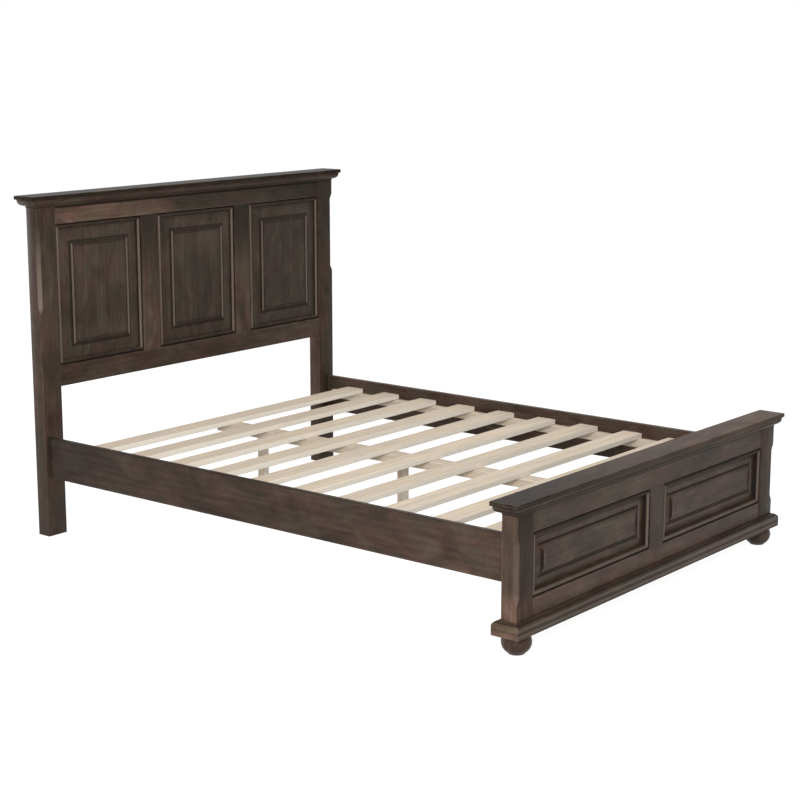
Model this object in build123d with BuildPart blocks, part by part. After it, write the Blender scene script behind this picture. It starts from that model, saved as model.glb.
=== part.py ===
from build123d import *
import os

# A queen-size platform bed: two panelled boards on square posts, two side rails
# hooked between them, and pine slats over a centre beam on legs.
# X runs across the bed, Y from the foot to the head, Z up from the floor, in mm.
# The origin is on the floor, under the middle of the bed.

os.makedirs("parts", exist_ok=True)

# Mattress, and the room left around it
mattress_width = 1524
mattress_length = 2032
side_gap = 18
end_gap = 20.75

# Posts, shared by both boards
post_width = 86
post_depth = 58
chamfer_leg = 12
chamfer_run_out = 30
head_chamfer_low = 836
head_chamfer_high = 1172
foot_chamfer_low = 160
foot_chamfer_high = 377

# Heights above the floor
head_height = 1271
foot_height = 485
foot_post_low = 63
head_rail_low = 560

# Frame members of the boards
frame_thickness = 38
frame_set_back = 3
head_top_rail = 64
head_bottom_rail = 77
foot_top_rail = 65
foot_bottom_rail = 104
stile_width = 86
foot_stile_width = 84

# Joints between the frame members
tenon_thickness = 12
tenon_depth_in = 13
tenon_length = 30
stile_tenon_length = 20
tenon_shoulder = 12
mortise_gap = 1
groove_depth = 10
tongue_gap = 1
tongue_thickness = 7

# Raised panels, measured inward from the frame and back from its face
head_tongue_back = 12
head_field_back = 1
head_step_margin = 71
head_field_margin = 76
head_field_step = 3
foot_tongue_back = 21
foot_field_back = 12
foot_step_margin_x = 58
foot_step_margin_z = 50
foot_field_margin_x = 74
foot_field_margin_z = 62
foot_field_step = 6

# Bead moulding around each panel
bead_width = 18
bead_quirk = 4
bead_quirk_back = 5
bead_top_back = 1.5

# Cap board and the moulded crown board under it
cap_thickness = 14
cap_end_overhang = 36
cap_front_overhang = 22
cap_edge_round = 2
crown_height = 31
crown_end_reach = 29
crown_front_reach = 16
crown_lip = 4
crown_ovolo_drop = 20
crown_ovolo_bulge = 5
crown_fillet = 4
crown_foot_reach = 1
cutter_clear = 2

# Base moulding around the foot of the footboard
base_reach = 22
base_face_height = 34
base_round_height = 14
base_round_flat = 8
base_round_middle = 9.5

# Bun feet
bun_radius = 48
bun_base_radius = 27
bun_top_radius = 38
bun_widest = 38
glide_radius = 26.5
glide_thickness = 3
stud_radius = 5
stud_in_post = 40
stud_in_bun = 40
stud_gap = 0.3
stud_end_gap = 2

# Side rails
rail_height = 153
rail_low = 225
rail_thickness = 19
rail_set_in = 13
rail_edge_round = 2

# Hooks and catches that lock the side rails to the posts
plate_width = 15
plate_height = 130
plate_thickness = 3
hook_spacing = 70
hook_thickness = 3
hook_height = 26
hook_neck = 14
hook_reach = 9
slot_gap = 1
catch_pocket_depth = 12
catch_pocket_width = 9

# Slats and what carries them
slat_count = 10
slat_width = 83
slat_thickness = 20
slat_drop = 35
slat_end_gap = 1
slat_edge_round = 2.5
head_slat_gap = 116
foot_slat_gap = 81.7
ledger_width = 22
ledger_height = 34
ledger_end_gap = 40
beam_width = 59
beam_height = 35
leg_width = 29
leg_depth = 34
leg_count = 3
first_leg_inset = 222
last_leg_inset = 241.8
leg_glide_radius = 12
leg_glide_thickness = 4

# Places worked out from the sizes above
rail_inner = mattress_width / 2 + side_gap
rail_outer = rail_inner + rail_thickness
post_outer = rail_outer + rail_set_in
post_inner = post_outer - post_width
post_middle = post_outer - post_width / 2
inner_length = mattress_length + 2 * end_gap
head_front = inner_length / 2
foot_front = -inner_length / 2 - post_depth
head_post_top = head_height - cap_thickness - crown_height
foot_post_top = foot_height - cap_thickness - crown_height
head_panel_low = head_rail_low + head_bottom_rail
head_panel_high = head_post_top - head_top_rail
foot_panel_low = foot_post_low + foot_bottom_rail
foot_panel_high = foot_post_top - foot_top_rail
rail_high = rail_low + rail_height
slat_low = rail_high - slat_drop - slat_thickness
beam_low = slat_low - beam_height
first_slat_back = head_front - head_slat_gap
last_slat_front = -inner_length / 2 + foot_slat_gap
beam_length = first_slat_back - last_slat_front
slat_pitch = (beam_length - slat_width) / (slat_count - 1)
leg_spacing = (beam_length - first_leg_inset - last_leg_inset) / (leg_count - 1)
head_panel_width = (2 * post_inner - 2 * stile_width) / 3
head_stile_x = (head_panel_width + stile_width) / 2


def upright(y):
    """An upright plane across the bed at y, facing the foot end."""
    return Plane.XZ.offset(-y)


def side_plane(x, y, z, side):
    """An upright plane along the bed that faces away from its middle on the given side."""
    return Plane(origin=(x, y, z), x_dir=(0, 1, 0), z_dir=(side, 0, 0))


def chamfer_waste(side, front, span):
    """What a stopped chamfer takes off a post's outer front corner."""
    low, high = span
    bite = chamfer_leg / 2**0.5
    corner = Plane(origin=(side * post_outer, front, 0), x_dir=(-side, 1, 0), z_dir=(-1, -side, 0))
    with BuildPart() as cutter:
        with BuildSketch(corner):
            with BuildLine():
                foot = ThreePointArc(
                    (0, low),
                    (bite / 3, low + chamfer_run_out / 2),
                    (bite, low + chamfer_run_out),
                )
                top = ThreePointArc(
                    (bite, high - chamfer_run_out),
                    (bite / 3, high - chamfer_run_out / 2),
                    (0, high),
                )
                Line(foot @ 1, top @ 0)
                Polyline(top @ 1, (-bite, high), (-bite, low), foot @ 0)
            make_face()
        extrude(amount=2 * chamfer_leg, both=True)
    return cutter.part


def make_post(side, front, low, high, tenons, tongue_back, panel_span, hook_side, chamfer_span):
    """A square post with its mortises, panel groove, catch recess and stopped chamfer."""
    tenon_y = front + frame_set_back + tenon_depth_in + tenon_thickness / 2
    groove_y = front + frame_set_back + tongue_back + tongue_thickness / 2
    panel_low, panel_high = panel_span
    hook_face = front if hook_side > 0 else front + post_depth
    rail_middle = (rail_low + rail_high) / 2
    corner_waste = chamfer_waste(side, front, chamfer_span)
    with BuildPart() as post:
        with BuildSketch(Plane.XY.offset(low)):
            with Locations((side * post_middle, front + post_depth / 2)):
                Rectangle(post_width, post_depth)
        extrude(amount=high - low)
        for tenon_low, tenon_high in tenons:
            middle = (tenon_low + tenon_high) / 2
            with BuildSketch(side_plane(side * post_inner, tenon_y, middle, side)):
                Rectangle(tenon_thickness, tenon_high - tenon_low)
            extrude(amount=tenon_length + mortise_gap, mode=Mode.SUBTRACT)
        with BuildSketch(side_plane(side * post_inner, groove_y, (panel_low + panel_high) / 2, side)):
            Rectangle(tongue_thickness, panel_high - panel_low + 2 * groove_depth)
        extrude(amount=groove_depth, mode=Mode.SUBTRACT)
        with BuildSketch(upright(hook_face)):
            with Locations((side * (rail_inner + rail_thickness / 2), rail_middle)):
                Rectangle(plate_width, plate_height)
        extrude(amount=-hook_side * plate_thickness, mode=Mode.SUBTRACT)
        with BuildSketch(upright(hook_face + hook_side * plate_thickness)):
            with Locations((side * (rail_inner + rail_thickness / 2), rail_middle)):
                Rectangle(catch_pocket_width, hook_spacing + 2 * hook_height)
        extrude(amount=-hook_side * catch_pocket_depth, mode=Mode.SUBTRACT)
        add(corner_waste, mode=Mode.SUBTRACT)
    return post.part


def make_board_rail(front, low, high, tongue_back, panel_side, stiles):
    """A rail across a board: a tenon at each end, a panel groove and mortises for the stiles."""
    face = front + frame_set_back
    middle = (low + high) / 2
    edge = high if panel_side > 0 else low
    edge_plane = Plane(origin=(0, face, edge), x_dir=(1, 0, 0), z_dir=(0, 0, -panel_side))
    with BuildPart() as rail:
        with BuildSketch(upright(face)):
            with Locations((0, middle)):
                Rectangle(2 * post_inner, high - low)
        extrude(amount=-frame_thickness)
        with BuildSketch(upright(face + tenon_depth_in)):
            with Locations((0, middle)):
                Rectangle(2 * (post_inner + tenon_length), high - low - 2 * tenon_shoulder)
        extrude(amount=-tenon_thickness)
        with BuildSketch(edge_plane):
            with Locations((0, -panel_side * (tongue_back + tongue_thickness / 2))):
                Rectangle(2 * post_inner, tongue_thickness)
        extrude(amount=groove_depth, mode=Mode.SUBTRACT)
        with BuildSketch(edge_plane):
            with Locations(
                *[(x, -panel_side * (tenon_depth_in + tenon_thickness / 2)) for x, width in stiles]
            ):
                Rectangle(stiles[0][1] - 2 * tenon_shoulder, tenon_thickness)
        extrude(amount=stile_tenon_length + mortise_gap, mode=Mode.SUBTRACT)
    return rail.part


def make_stile(x, width, front, low, high, tongue_back):
    """An upright between two panels, tenoned into the rails and grooved on both edges."""
    face = front + frame_set_back
    middle = (low + high) / 2
    groove_y = face + tongue_back + tongue_thickness / 2
    with BuildPart() as stile:
        with BuildSketch(upright(face)):
            with Locations((x, middle)):
                Rectangle(width, high - low)
        extrude(amount=-frame_thickness)
        with BuildSketch(upright(face + tenon_depth_in)):
            with Locations((x, middle)):
                Rectangle(width - 2 * tenon_shoulder, high - low + 2 * stile_tenon_length)
        extrude(amount=-tenon_thickness)
        for side in (-1, 1):
            with BuildSketch(side_plane(x + side * width / 2, groove_y, middle, -side)):
                Rectangle(tongue_thickness, high - low)
            extrude(amount=groove_depth, mode=Mode.SUBTRACT)
    return stile.part


def make_panel(x, middle, width, height, front, tongue_back, field_back, step_margins, margins, step):
    """A raised panel: a tongue all round, a long bevel, a short steep one and a flat field."""
    face = front + frame_set_back
    tongue = groove_depth - tongue_gap
    rings = (
        (face + tongue_back, (bead_width, bead_width)),
        (face + field_back + step, step_margins),
        (face + field_back, margins),
    )
    with BuildPart() as panel:
        with BuildSketch(upright(face + tongue_back)):
            with Locations((x, middle)):
                Rectangle(width + 2 * tongue, height + 2 * tongue)
        extrude(amount=-tongue_thickness)
        for ring_y, (margin_x, margin_z) in rings:
            with BuildSketch(upright(ring_y)):
                with Locations((x, middle)):
                    Rectangle(width - 2 * margin_x, height - 2 * margin_z)
        loft(ruled=True)
    return panel.part


def make_bead(x, middle, width, height, front, tongue_back):
    """The mitred bead moulding that closes the joint between a panel and its frame."""
    face = front + frame_set_back
    roll = (bead_width - bead_quirk) / 2
    with BuildPart() as bead:
        with BuildLine(upright(face)) as path:
            Polyline(
                (x, middle - height / 2),
                (x + width / 2, middle - height / 2),
                (x + width / 2, middle + height / 2),
                (x - width / 2, middle + height / 2),
                (x - width / 2, middle - height / 2),
                (x, middle - height / 2),
            )
        section = Plane(origin=(x, face, middle - height / 2), x_dir=(0, 0, 1), z_dir=(1, 0, 0))
        with BuildSketch(section):
            with BuildLine():
                side = Polyline(
                    (bead_quirk, -bead_top_back - roll),
                    (bead_quirk, -bead_quirk_back - bead_top_back),
                    (0, -bead_quirk_back),
                    (0, -tongue_back),
                    (bead_width, -tongue_back),
                    (bead_width, -bead_top_back - roll),
                )
                ThreePointArc(side @ 1, (bead_quirk + roll, -bead_top_back), side @ 0)
            make_face()
        sweep(path=path.wires()[0], transition=Transition.RIGHT)
    return bead.part


def crown_waste(half_width, reach):
    """What is milled off two facing edges of the crown board: all but a lip, an ovolo and a fillet."""
    ovolo_top = crown_height - crown_lip
    ovolo_foot = ovolo_top - crown_ovolo_drop
    foot_x = half_width + crown_foot_reach
    clear_x = half_width + reach + cutter_clear
    with BuildSketch() as waste:
        with BuildLine():
            curve = SagittaArc(
                (foot_x + crown_fillet, ovolo_foot),
                (half_width + reach, ovolo_top),
                -crown_ovolo_bulge,
            )
            Polyline(
                curve @ 0,
                (foot_x, ovolo_foot),
                (foot_x, -cutter_clear),
                (clear_x, -cutter_clear),
                (clear_x, ovolo_top),
                curve @ 1,
            )
        make_face()
        mirror(about=Plane.YZ)
    return waste.sketch


def make_crown(front, low):
    """The crown board: a blank with the moulding milled along its front and back and both ends."""
    middle = front + post_depth / 2
    length = 2 * (post_outer + crown_end_reach)
    depth = post_depth + 2 * crown_front_reach
    long_waste = crown_waste(post_depth / 2, crown_front_reach)
    end_waste = crown_waste(post_outer, crown_end_reach)
    with BuildPart() as crown:
        with BuildSketch(Plane.XY.offset(low)):
            with Locations((0, middle)):
                Rectangle(length, depth)
        extrude(amount=crown_height)
        with BuildSketch(Plane(origin=(0, middle, low), x_dir=(0, 1, 0), z_dir=(1, 0, 0))):
            add(long_waste)
        extrude(amount=length, both=True, mode=Mode.SUBTRACT)
        with BuildSketch(Plane(origin=(0, middle, low), x_dir=(1, 0, 0), z_dir=(0, -1, 0))):
            add(end_waste)
        extrude(amount=depth, both=True, mode=Mode.SUBTRACT)
    return crown.part


def make_cap(front, top):
    """The flat board that tops a board, with its upper edges eased."""
    with BuildPart() as cap:
        with BuildSketch(Plane.XY.offset(top - cap_thickness)):
            with Locations((0, front + post_depth / 2)):
                Rectangle(2 * (post_outer + cap_end_overhang), post_depth + 2 * cap_front_overhang)
        extrude(amount=cap_thickness)
        fillet(cap.faces().sort_by(Axis.Z)[-1].edges(), radius=cap_edge_round)
    return cap.part


def make_base_strip(middle, outward, half_length):
    """One strip of base moulding on a face of the footboard, with both ends cut to a mitre."""
    along = outward.cross(Vector(0, 0, 1))
    with BuildPart() as strip:
        with BuildSketch(Plane(origin=middle, x_dir=outward, z_dir=along)):
            with BuildLine():
                rounding = ThreePointArc(
                    (0, base_face_height + base_round_height),
                    (base_reach - base_round_flat, base_face_height + base_round_middle),
                    (base_reach, base_face_height),
                )
                Polyline(rounding @ 1, (base_reach, 0), (0, 0), rounding @ 0)
            make_face()
        extrude(amount=half_length + base_reach, both=True)
        for end in (-1, 1):
            corner = middle + along * end * half_length
            split(bisect_by=Plane(origin=corner, z_dir=along * end - outward), keep=Keep.BOTTOM)
    return strip.part


def tenon_span(low, high):
    return low + tenon_shoulder, high - tenon_shoulder


def save(piece, label):
    piece.label = label
    export_step(piece, f"parts/{label}.step")


# Headboard posts and footboard posts
head_tenons = (
    tenon_span(head_rail_low, head_panel_low),
    tenon_span(head_panel_high, head_post_top),
)
foot_tenons = (
    tenon_span(foot_post_low, foot_panel_low),
    tenon_span(foot_panel_high, foot_post_top),
)
for side, name in ((-1, "left"), (1, "right")):
    head_post = make_post(
        side,
        head_front,
        0,
        head_post_top,
        head_tenons,
        head_tongue_back,
        (head_panel_low, head_panel_high),
        1,
        (head_chamfer_low, head_chamfer_high),
    )
    save(head_post, f"head_post_{name}")

    foot_post = make_post(
        side,
        foot_front,
        foot_post_low,
        foot_post_top,
        foot_tenons,
        foot_tongue_back,
        (foot_panel_low, foot_panel_high),
        -1,
        (foot_chamfer_low, foot_chamfer_high),
    )
    with BuildPart() as bored_post:
        add(foot_post)
        with Locations((side * post_middle, foot_front + post_depth / 2, foot_post_low)):
            Cylinder(
                stud_radius + stud_gap,
                2 * (stud_in_post + stud_end_gap),
                mode=Mode.SUBTRACT,
            )
    save(bored_post.part, f"foot_post_{name}")

# Headboard rails, stiles, panels and beads
head_stiles = ((-head_stile_x, stile_width), (head_stile_x, stile_width))
save(
    make_board_rail(head_front, head_panel_high, head_post_top, head_tongue_back, -1, head_stiles),
    "head_top_rail",
)
save(
    make_board_rail(head_front, head_rail_low, head_panel_low, head_tongue_back, 1, head_stiles),
    "head_bottom_rail",
)
for (x, width), name in zip(head_stiles, ("left", "right")):
    save(
        make_stile(x, width, head_front, head_panel_low, head_panel_high, head_tongue_back),
        f"head_stile_{name}",
    )

head_panel_height = head_panel_high - head_panel_low
head_panel_middle = (head_panel_high + head_panel_low) / 2
for index, name in ((-1, "left"), (0, "middle"), (1, "right")):
    panel_x = index * (head_panel_width + stile_width)
    panel = make_panel(
        panel_x,
        head_panel_middle,
        head_panel_width,
        head_panel_height,
        head_front,
        head_tongue_back,
        head_field_back,
        (head_step_margin, head_step_margin),
        (head_field_margin, head_field_margin),
        head_field_step,
    )
    save(panel, f"head_panel_{name}")
    bead = make_bead(
        panel_x, head_panel_middle, head_panel_width, head_panel_height, head_front, head_tongue_back
    )
    save(bead, f"head_bead_{name}")

# Footboard rails, stile, panels and beads
foot_stiles = ((0, foot_stile_width),)
save(
    make_board_rail(foot_front, foot_panel_high, foot_post_top, foot_tongue_back, -1, foot_stiles),
    "foot_top_rail",
)
save(
    make_board_rail(foot_front, foot_post_low, foot_panel_low, foot_tongue_back, 1, foot_stiles),
    "foot_bottom_rail",
)
save(
    make_stile(0, foot_stile_width, foot_front, foot_panel_low, foot_panel_high, foot_tongue_back),
    "foot_stile",
)

foot_panel_width = post_inner - foot_stile_width / 2
foot_panel_height = foot_panel_high - foot_panel_low
foot_panel_middle = (foot_panel_high + foot_panel_low) / 2
for side, name in ((-1, "left"), (1, "right")):
    panel_x = side * (foot_stile_width + foot_panel_width) / 2
    panel = make_panel(
        panel_x,
        foot_panel_middle,
        foot_panel_width,
        foot_panel_height,
        foot_front,
        foot_tongue_back,
        foot_field_back,
        (foot_step_margin_x, foot_step_margin_z),
        (foot_field_margin_x, foot_field_margin_z),
        foot_field_step,
    )
    save(panel, f"foot_panel_{name}")
    bead = make_bead(
        panel_x, foot_panel_middle, foot_panel_width, foot_panel_height, foot_front, foot_tongue_back
    )
    save(bead, f"foot_bead_{name}")

# Crown boards and caps
save(make_crown(head_front, head_post_top), "head_crown")
save(make_cap(head_front, head_height), "head_cap")
save(make_crown(foot_front, foot_post_top), "foot_crown")
save(make_cap(foot_front, foot_height), "foot_cap")

# Base moulding: four strips round the foot of the board, mitred at the corners
foot_middle = foot_front + post_depth / 2
for name, out_x, out_y in (("front", 0, -1), ("back", 0, 1), ("left", -1, 0), ("right", 1, 0)):
    base_strip = make_base_strip(
        Vector(out_x * post_outer, foot_middle + out_y * post_depth / 2, foot_post_low),
        Vector(out_x, out_y, 0),
        post_outer if out_y else post_depth / 2,
    )
    save(base_strip, f"foot_base_{name}")

# Bun feet, turned alike, each held by a stud and standing on a thin glide
with BuildPart() as bun_feet:
    for side in (-1, 1):
        axis_x = side * post_middle
        with BuildSketch(upright(foot_middle)):
            with BuildLine():
                belly = ThreePointArc(
                    (axis_x + bun_base_radius, glide_thickness),
                    (axis_x + bun_radius, bun_widest),
                    (axis_x + bun_top_radius, foot_post_low),
                )
                Polyline(belly @ 1, (axis_x, foot_post_low), (axis_x, glide_thickness), belly @ 0)
            make_face()
        revolve(axis=Axis((axis_x, foot_middle, 0), (0, 0, 1)))
    with Locations((-post_middle, foot_middle, foot_post_low), (post_middle, foot_middle, foot_post_low)):
        Cylinder(
            stud_radius + stud_gap,
            2 * (stud_in_bun + stud_end_gap),
            mode=Mode.SUBTRACT,
        )
save(bun_feet.part, "bun_feet")

with BuildPart() as bun_glides:
    with BuildSketch():
        with Locations((-post_middle, foot_middle), (post_middle, foot_middle)):
            Circle(glide_radius)
    extrude(amount=glide_thickness)
save(bun_glides.part, "bun_glides")

with BuildPart() as bun_studs:
    with BuildSketch(Plane.XY.offset(foot_post_low - stud_in_bun)):
        with Locations((-post_middle, foot_middle), (post_middle, foot_middle)):
            Circle(stud_radius)
    extrude(amount=stud_in_bun + stud_in_post)
save(bun_studs.part, "bun_studs")

# Side rails, each let in at both ends for its hook plates
rail_middle_x = rail_inner + rail_thickness / 2
rail_middle_z = (rail_low + rail_high) / 2
for side, name in ((-1, "left"), (1, "right")):
    with BuildPart() as side_rail:
        with BuildSketch(Plane.XZ):
            with Locations((side * rail_middle_x, rail_middle_z)):
                RectangleRounded(rail_thickness, rail_height, rail_edge_round)
        extrude(amount=inner_length / 2, both=True)
        for end in (-1, 1):
            with BuildSketch(upright(end * inner_length / 2)):
                with Locations((side * rail_middle_x, rail_middle_z)):
                    Rectangle(plate_width, plate_height)
            extrude(amount=end * plate_thickness, mode=Mode.SUBTRACT)
    save(side_rail.part, f"side_rail_{name}")

# Hook plates in the rail ends and catch plates in the posts, one set at each corner
joint_y = inner_length / 2
neck_lows = (rail_middle_z - hook_spacing / 2, rail_middle_z + hook_spacing / 2)
with BuildPart() as rail_hooks:
    with BuildSketch(upright(joint_y - plate_thickness)):
        with Locations((rail_middle_x, rail_middle_z)):
            Rectangle(plate_width, plate_height)
    extrude(amount=-plate_thickness)
    with BuildSketch(side_plane(rail_middle_x, 0, 0, 1)):
        for neck_low in neck_lows:
            with BuildLine():
                Polyline(
                    (joint_y, neck_low),
                    (joint_y + plate_thickness + slot_gap, neck_low),
                    (joint_y + plate_thickness + slot_gap, neck_low - hook_height + hook_neck),
                    (joint_y + plate_thickness + hook_reach, neck_low - hook_height + hook_neck),
                    (joint_y + plate_thickness + hook_reach, neck_low + hook_neck),
                    (joint_y, neck_low + hook_neck),
                    close=True,
                )
            make_face()
    extrude(amount=hook_thickness / 2, both=True)
    mirror(about=Plane.XZ)
    mirror(about=Plane.YZ)
save(rail_hooks.part, "rail_hooks")

with BuildPart() as post_catches:
    with BuildSketch(upright(joint_y)):
        with Locations((rail_middle_x, rail_middle_z)):
            Rectangle(plate_width, plate_height)
        slot_height = hook_height + slot_gap
        for neck_low in neck_lows:
            with Locations((rail_middle_x, neck_low + slot_height / 2)):
                Rectangle(hook_thickness + 2 * slot_gap, slot_height, mode=Mode.SUBTRACT)
    extrude(amount=-plate_thickness)
    mirror(about=Plane.XZ)
    mirror(about=Plane.YZ)
save(post_catches.part, "post_catches")

# Ledgers along the inside of the rails
for side, name in ((-1, "left"), (1, "right")):
    with BuildPart() as ledger:
        with BuildSketch(Plane.XZ):
            with Locations((side * (rail_inner - ledger_width / 2), slat_low - ledger_height / 2)):
                Rectangle(ledger_width, ledger_height)
        extrude(amount=inner_length / 2 - ledger_end_gap, both=True)
    save(ledger.part, f"ledger_{name}")

# Slats, laid from ledger to ledger
slat_half_length = rail_inner - slat_end_gap
for number in range(slat_count):
    slat_y = first_slat_back - slat_width / 2 - number * slat_pitch
    with BuildPart() as slat:
        with BuildSketch(side_plane(0, slat_y, slat_low + slat_thickness / 2, 1)):
            RectangleRounded(slat_width, slat_thickness, slat_edge_round)
        extrude(amount=slat_half_length, both=True)
    save(slat.part, f"slat_{number + 1:02d}")

# Centre beam, its legs and their glides
with BuildPart() as centre_beam:
    with BuildSketch(upright(first_slat_back)):
        with Locations((0, beam_low + beam_height / 2)):
            RectangleRounded(beam_width, beam_height, slat_edge_round)
    extrude(amount=beam_length)
save(centre_beam.part, "centre_beam")

leg_places = [
    (0, first_slat_back - first_leg_inset - number * leg_spacing) for number in range(leg_count)
]
for number, place in enumerate(leg_places, start=1):
    with BuildPart() as leg:
        with BuildSketch(Plane.XY.offset(leg_glide_thickness)):
            with Locations(place):
                RectangleRounded(leg_width, leg_depth, slat_edge_round)
        extrude(amount=beam_low - leg_glide_thickness)
    save(leg.part, f"centre_leg_{number}")

with BuildPart() as leg_glides:
    with BuildSketch():
        with Locations(*leg_places):
            Circle(leg_glide_radius)
    extrude(amount=leg_glide_thickness)
save(leg_glides.part, "leg_glides")
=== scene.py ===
# %% [markdown]
# # A panelled platform bed
# The bed is stained hardwood: a tall headboard and a low footboard, each a frame of rails and
# stiles that holds raised panels, joined by two side rails. Pine slats lie on ledgers and on a
# centre beam. The measured parts come from the CAD frame, so this lesson is about how wood,
# stain, lacquer and light are made to look real on shapes that are already right.

# %% Load the parts
import math
import bpy
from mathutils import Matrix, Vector


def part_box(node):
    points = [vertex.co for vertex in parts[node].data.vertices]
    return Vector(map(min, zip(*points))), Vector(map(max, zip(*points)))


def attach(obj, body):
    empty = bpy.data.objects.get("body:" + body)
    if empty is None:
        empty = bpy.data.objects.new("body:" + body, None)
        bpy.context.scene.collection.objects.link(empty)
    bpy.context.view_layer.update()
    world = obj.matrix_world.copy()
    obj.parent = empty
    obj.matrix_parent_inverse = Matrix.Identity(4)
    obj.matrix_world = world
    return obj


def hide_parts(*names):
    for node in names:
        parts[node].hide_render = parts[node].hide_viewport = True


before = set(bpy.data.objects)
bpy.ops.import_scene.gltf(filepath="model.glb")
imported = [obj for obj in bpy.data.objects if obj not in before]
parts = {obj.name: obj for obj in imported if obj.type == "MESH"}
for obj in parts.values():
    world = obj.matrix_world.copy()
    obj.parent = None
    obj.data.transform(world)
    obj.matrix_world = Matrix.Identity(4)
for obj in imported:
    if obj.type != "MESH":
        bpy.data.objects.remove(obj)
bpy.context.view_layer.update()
scene = bpy.context.scene
print("parts loaded:", len(parts))

# %% [markdown]
# ## The camera
# A furniture photograph is taken from eye height with a long lens, so that the upright posts
# stay nearly parallel. The camera looks down a little and stands off the bed's near corner.
# It is aimed by two angles, which are easier to read and to change than a rotation.

# %% Aim the camera
turn_round_bed = math.radians(-51.2)
look_down = math.radians(11.61)
towards_camera = Vector((
    math.sin(turn_round_bed) * math.cos(look_down),
    -math.cos(turn_round_bed) * math.cos(look_down),
    math.sin(look_down),
))
lens = bpy.data.cameras.new("long_lens")
lens.lens = 81.39
lens.sensor_width = 36
camera = bpy.data.objects.new("camera", lens)
camera.location = (-5.0754, -4.0738, 1.8631)
camera.rotation_euler = towards_camera.to_track_quat("Z", "Y").to_euler()
scene.collection.objects.link(camera)
scene.camera = camera
scene.view_settings.view_transform = "Standard"
print("camera stands", round(camera.location.length, 2), "m from the bed's middle")

# %% [markdown]
# ## Small helpers for shader nodes
# Every finish below is built from nodes. The first two helpers do most of the work: one adds a
# node and sets its fields, the other fills a node's inputs, with a value or with another node's
# output. The others are short names for the nodes that come back most.

# %% Node helpers
def add_node(tree, kind, **fields):
    node = tree.nodes.new(kind)
    for field, value in fields.items():
        setattr(node, field, value)
    return node


def feed(tree, node, **inputs):
    for label, value in inputs.items():
        socket = node.inputs[label.replace("_", " ")]
        if isinstance(value, bpy.types.NodeSocket):
            tree.links.new(value, socket)
        else:
            socket.default_value = value


def sum_node(tree, operation, *values):
    """A Math node on these values, each a number or another node's output."""
    node = add_node(tree, "ShaderNodeMath", operation=operation)
    for socket, value in zip(node.inputs, values):
        if isinstance(value, bpy.types.NodeSocket):
            tree.links.new(value, socket)
        else:
            socket.default_value = value
    return node.outputs[0]


def vector_node(tree, operation, *values):
    """A Vector Math node on these values."""
    node = add_node(tree, "ShaderNodeVectorMath", operation=operation)
    sockets = [s for s in node.inputs if s.enabled]
    for socket, value in zip(sockets, values):
        if isinstance(value, bpy.types.NodeSocket):
            tree.links.new(value, socket)
        else:
            socket.default_value = value
    return node.outputs[0]


def blend_colours(tree, how, share, first, second):
    """A Mix node for colours: share 0 gives the first, 1 gives the second blended over it."""
    node = add_node(tree, "ShaderNodeMix", data_type="RGBA", blend_type=how)
    factor_and_colours = (node.inputs[0], node.inputs[6], node.inputs[7])
    for socket, value in zip(factor_and_colours, (share, first, second)):
        if isinstance(value, bpy.types.NodeSocket):
            tree.links.new(value, socket)
        else:
            socket.default_value = value
    return node.outputs[2]


def fade(tree, value, start, end):
    """0 where value is at start, 1 where it is at end, and smooth between."""
    node = add_node(tree, "ShaderNodeMapRange", interpolation_type="SMOOTHSTEP")
    feed(tree, node, From_Min=start, From_Max=end)
    tree.links.new(value, node.inputs["Value"])
    return node.outputs[0]


def split(tree, vector):
    """A vector's three numbers."""
    node = add_node(tree, "ShaderNodeSeparateXYZ")
    tree.links.new(vector, node.inputs[0])
    return node.outputs


def ramp_colours(tree, value, *stops):
    """The colour at value on a ramp through stops, each (position, red, green, blue)."""
    node = add_node(tree, "ShaderNodeValToRGB")
    elements = node.color_ramp.elements
    elements[0].position, elements[1].position = stops[0][0], stops[-1][0]
    for position, *_ in stops[1:-1]:
        elements.new(position)
    for element, (_, red, green, blue) in zip(elements, stops):
        element.color = (red, green, blue, 1)
    tree.links.new(value, node.inputs[0])
    return node.outputs[0]


def scale_colour(tree, colour, amount):
    """A colour with its three channels multiplied by one number."""
    grey = add_node(tree, "ShaderNodeCombineColor")
    for channel in grey.inputs[:3]:
        tree.links.new(amount, channel)
    return blend_colours(tree, "MULTIPLY", 1.0, colour, grey.outputs[0])


def new_group(name, inputs, outputs):
    """An empty shader node group with its named sockets, and its input and output nodes."""
    tree = bpy.data.node_groups.new(name, "ShaderNodeTree")
    kinds = {"number": "Float", "vector": "Vector", "colour": "Color"}
    for way, sockets in (("INPUT", inputs), ("OUTPUT", outputs)):
        for label, kind in sockets.items():
            socket_type = "NodeSocket" + kinds[kind]
            tree.interface.new_socket(label, in_out=way, socket_type=socket_type)
    entry = add_node(tree, "NodeGroupInput")
    end = add_node(tree, "NodeGroupOutput")
    return tree, entry.outputs, end.inputs


def place_group(tree, group):
    return add_node(tree, "ShaderNodeGroup", node_tree=group)


print("helpers ready")

# %% [markdown]
# ## Light
# The bed stands in a white studio. The main soft box stands near the camera, so the foot end is
# brighter than the head end and every moulding has a light and a dark flank. A second one
# overhead opens up the slats, and a weak one behind lights the headboard's back. The white behind
# the bed is only what the camera and the reflections see: the light that reaches the wood comes
# at a plain level, so a colour renders about as it is written.

# %% Studio light
white_paint = (1, 1, 1, 1)
world_level = 0.3


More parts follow.
